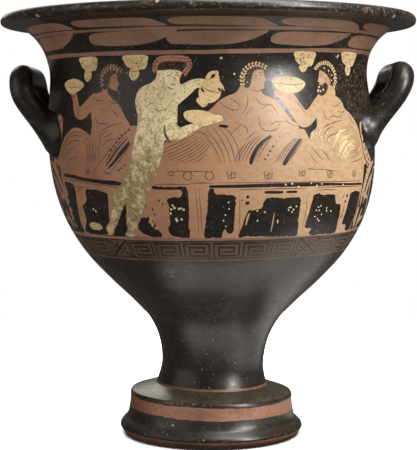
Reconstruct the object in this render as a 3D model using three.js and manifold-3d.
// Bell krater: a wheel-thrown mixing bowl with a flaring bell body, a rolled lip, a stemmed
// disc foot and two upturned loop handles. Millimetres, +Z up, the resting ring on z = 0, the
// handles along X and the main picture side facing -Y.
import * as THREE from 'three';
import { mergeVertices } from 'three/addons/utils/BufferGeometryUtils.js';
import Module from 'manifold-3d';

// ---- driving dimensions ----------------------------------------------------------------
const HEIGHT = 362;              // resting ring to the top of the lip
const LIP_RADIUS = 178;          // widest point of the rolled lip
const LIP_DEPTH = 8.6;           // height of the roll
const FOOT_RADIUS = 79.6;         // widest point of the torus under the foot disc
const RESTING_RADIUS = 70;       // outer edge of the ring the pot stands on
const RESTING_INNER = 58;        // inner edge of that ring
const FASCIA_RADIUS = 70.8;      // upright face of the foot disc
const FOOT_HEIGHT = 37.4;        // top edge of the foot disc
const HOLLOW_TOP = 84;           // how far the hollow foot runs up into the stem
const BOWL_FLOOR = 107;          // inside bottom of the bowl
const TURNS = 60;                // facets round the pot

// Body, from the stem's root up through the bell and the neck to the flare: radius, height.
const BODY = [
  [47.8, 45.5],                  // root of the stem on the foot disc
  [44.5, 62],                    // waist of the stem
  [47.6, 83],
  [56.5, 101.5],
  [71.5, 118],                   // underside of the bell
  [91.5, 137],
  [112, 159.5],
  [127.5, 185],
  [136.8, 212],
  [140.7, 240],
  [140.8, 268],                  // belly, level with the handle roots
  [138, 295],
  [136.7, 314],                  // neck
  [140.3, 330.5],
  [147.6, 342],
  [157.5, 350.8],                // flare under the lip
];
const BODY_STEPS = 25;

// Inside of the bowl, a wall's thickness within the body: radius, height.
const BOWL = [
  [165, 360.6],
  [157, 356.8],
  [149.5, 351],
  [140.6, 341],
  [133.8, 328.5],
  [129.8, 312],
  [131, 294],
  [133.8, 266],
  [133.6, 240],
  [129.4, 212],
  [120, 187],
  [105, 163.5],
  [85.5, 142],
  [66, 125],
  [48, 113],
  [26, 108.2],
];

// Hollow under the foot: radius, height, from its apex down to the resting ring.
const FOOT_HOLLOW = [[15, 82], [26, 74], [31, 60], [36, 46], [46, 29], [55, 11]];

// Loop handles: the centre line seen from the front, outward distance and height, from the
// end buried in the wall up to the middle of the crossbar. The left loop is pulled shorter.
const RIGHT_HANDLE = [[116, 246], [130, 263.5], [141.5, 277], [151, 288.5], [157.5, 298.5],
  [161, 306.5], [162, 313]];
const LEFT_HANDLE = [[116, 246], [130, 263.5], [141.5, 276.5], [150, 287], [154.5, 296],
  [156, 303.5], [156.5, 310]];
const HANDLE_HALF_SPAN = 52;     // from the middle of the loop to the centre line of each arm
const HANDLE_SQUARENESS = 6;     // 2 bends the loop to a half circle, more squares it
const HANDLE_RADIUS = 10;
const ROOT_RADIUS = 16;          // the arms thicken where they are luted to the wall
const ROOT_LENGTH = 44;
const HANDLE_STEPS = 26;
const HANDLE_SIDES = 14;

// The pot is slightly crooked, as thrown pots are: how far its axis stands off towards +X at
// each height, and how much each level dips towards +X.
const LEAN = [[0, 2.4], [38, 2.5], [75, 4.3], [125, 6.2], [190, 5.2], [250, 2.8], [310, 0],
  [335, -1], [HEIGHT, 0]];
const DIP = [[0, 0], [20, -0.018], [38, -0.021], [62, -0.012], [100, 0], [HEIGHT, 0.002]];

// ---- curves ----------------------------------------------------------------------------
function smoothAt(stations, z) {
  let i = 0;
  while (i < stations.length - 2 && z > stations[i + 1][0]) i += 1;
  const slope = (a, b) => (b[1] - a[1]) / (b[0] - a[0]);
  const here = stations[i];
  const next = stations[i + 1];
  const before = stations[Math.max(i - 1, 0)];
  const after = stations[Math.min(i + 2, stations.length - 1)];
  const span = next[0] - here[0];
  const t = Math.min(Math.max((z - here[0]) / span, 0), 1);
  const m0 = slope(before, next) * span;
  const m1 = slope(here, after) * span;
  const h = t * t * (3 - 2 * t);
  return here[1] + (next[1] - here[1]) * h + m0 * t * (1 - t) ** 2 - m1 * t * t * (1 - t);
}

function footProfile() {
  const torus = [
    [RESTING_RADIUS + 5, 1.6],
    [FOOT_RADIUS - 0.6, 5],
    [FOOT_RADIUS, 8.6],
    [FOOT_RADIUS - 3, 12.4],
  ];
  const scotia = [[73.5, 15.8], [72.2, 20], [71.3, 25.5]];
  const disc = [
    [FASCIA_RADIUS, 31],
    [FASCIA_RADIUS, FOOT_HEIGHT - 1.6],
    [FASCIA_RADIUS - 0.9, FOOT_HEIGHT],
    [67.5, 38.3],
    [51.5, 42.6],
  ];
  return [[RESTING_RADIUS, 0], ...torus, ...scotia, ...disc];
}

function bodyProfile() {
  const curve = new THREE.SplineCurve(BODY.map(([r, z]) => new THREE.Vector2(r, z)));
  return curve.getPoints(BODY_STEPS).map((p) => [p.x, p.y]);
}

function lipProfile() {
  const under = HEIGHT - LIP_DEPTH;
  return [
    [163.5, under - 0.7],
    [171.5, under + 0.4],
    [175.6, under + 1.5],
    [LIP_RADIUS, under + 4.4],
    [LIP_RADIUS - 0.9, HEIGHT - 1.7],
    [LIP_RADIUS - 3.4, HEIGHT],
    [LIP_RADIUS - 7, HEIGHT],
  ];
}

// ---- solids ----------------------------------------------------------------------------
const wasm = await Module();
wasm.setup();

function solidOf(geometry) {
  const bare = geometry.clone();
  bare.deleteAttribute('normal');
  bare.deleteAttribute('uv');
  const merged = mergeVertices(bare, 1e-4);
  return new wasm.Manifold(new wasm.Mesh({
    numProp: 3,
    vertProperties: new Float32Array(merged.attributes.position.array),
    triVerts: new Uint32Array(merged.index.array),
  }));
}

function turned(profile) {
  const lathe = new THREE.LatheGeometry(profile.map(([r, z]) => new THREE.Vector2(r, z)), TURNS);
  lathe.rotateX(Math.PI / 2);
  lathe.rotateZ(Math.PI / 2);
  return solidOf(lathe);
}

// Centre line of one loop: the half span closes over the front-view curve like a squared arch.
function handleLine(stations) {
  const front = new THREE.SplineCurve(stations.map(([x, z]) => new THREE.Vector2(x, z)));
  const power = 2 / HANDLE_SQUARENESS;
  const points = [];
  const count = 16;
  for (let i = 0; i <= count; i += 1) {
    const angle = (Math.PI * i) / count;
    const along = Math.abs(Math.sin(angle)) ** power;
    const across = Math.sign(Math.cos(angle)) * Math.abs(Math.cos(angle)) ** power;
    const p = front.getPoint(Math.min(along, 1));
    points.push(new THREE.Vector3(p.x, -across * HANDLE_HALF_SPAN, p.y));
  }
  return new THREE.CatmullRomCurve3(points, false, 'centripetal');
}

function handle(stations, sideSign) {
  const line = handleLine(stations);
  const frames = line.computeFrenetFrames(HANDLE_STEPS, false);
  const length = line.getLength();
  const position = [];
  const index = [];
  for (let i = 0; i <= HANDLE_STEPS; i += 1) {
    const u = i / HANDLE_STEPS;
    const centre = line.getPointAt(u);
    const fromRoot = Math.min(u, 1 - u) * length;
    const swell = Math.max(0, 1 - fromRoot / ROOT_LENGTH) ** 1.5;
    const radius = HANDLE_RADIUS + (ROOT_RADIUS - HANDLE_RADIUS) * swell;
    for (let k = 0; k < HANDLE_SIDES; k += 1) {
      const angle = (2 * Math.PI * k) / HANDLE_SIDES;
      const p = centre.clone()
        .addScaledVector(frames.normals[i], radius * Math.cos(angle))
        .addScaledVector(frames.binormals[i], radius * Math.sin(angle));
      position.push(p.x * sideSign, p.y * sideSign, p.z);
    }
  }
  for (let i = 0; i < HANDLE_STEPS; i += 1) {
    for (let k = 0; k < HANDLE_SIDES; k += 1) {
      const a = i * HANDLE_SIDES + k;
      const b = i * HANDLE_SIDES + ((k + 1) % HANDLE_SIDES);
      index.push(a, b, b + HANDLE_SIDES, a, b + HANDLE_SIDES, a + HANDLE_SIDES);
    }
  }
  const last = HANDLE_STEPS * HANDLE_SIDES;
  for (let k = 1; k < HANDLE_SIDES - 1; k += 1) {
    index.push(0, k + 1, k);
    index.push(last, last + k, last + k + 1);
  }
  const geometry = new THREE.BufferGeometry();
  geometry.setAttribute('position', new THREE.Float32BufferAttribute(position, 3));
  geometry.setIndex(index);
  return solidOf(geometry);
}

// The clay outside, the space in the bowl and the hollow under the foot.
const outside = turned([[0, 0], ...footProfile(), ...bodyProfile(), ...lipProfile(), [0, HEIGHT]]);
const bowlSpace = turned([
  [0, BOWL_FLOOR],
  ...BOWL.slice().reverse(),
  [LIP_RADIUS - 7, HEIGHT],
  [LIP_RADIUS - 7, HEIGHT + 10],
  [0, HEIGHT + 10],
]);
const footSpace = turned([
  [0, -10],
  [RESTING_INNER, -10],
  [RESTING_INNER, 0],
  ...FOOT_HOLLOW.slice().reverse(),
  [0, HOLLOW_TOP],
]);

const clay = outside
  .add(handle(RIGHT_HANDLE, 1))
  .add(handle(LEFT_HANDLE, -1))
  .subtract(bowlSpace)
  .subtract(footSpace);

// ---- the finished mesh, with the pot's own crookedness ------------------------------------
const mesh = clay.getMesh();
const stride = mesh.numProp;
const vertices = new Float32Array((mesh.vertProperties.length / stride) * 3);
for (let i = 0; i < vertices.length / 3; i += 1) {
  const x = mesh.vertProperties[i * stride];
  const y = mesh.vertProperties[i * stride + 1];
  const z = mesh.vertProperties[i * stride + 2];
  vertices[i * 3] = x + smoothAt(LEAN, z);
  vertices[i * 3 + 1] = y;
  vertices[i * 3 + 2] = z + x * smoothAt(DIP, z);
}
const shape = new THREE.BufferGeometry();
shape.setAttribute('position', new THREE.BufferAttribute(vertices, 3));
shape.setIndex(new THREE.BufferAttribute(new Uint32Array(mesh.triVerts), 1));
shape.computeVertexNormals();

const glossyBlack = new THREE.MeshStandardMaterial({ color: 0x1d1a18, roughness: 0.3 });
const krater = new THREE.Mesh(shape, glossyBlack);
krater.name = 'bell_krater';

const part = new THREE.Group();
part.name = 'krater';
part.add(krater);
export default part;
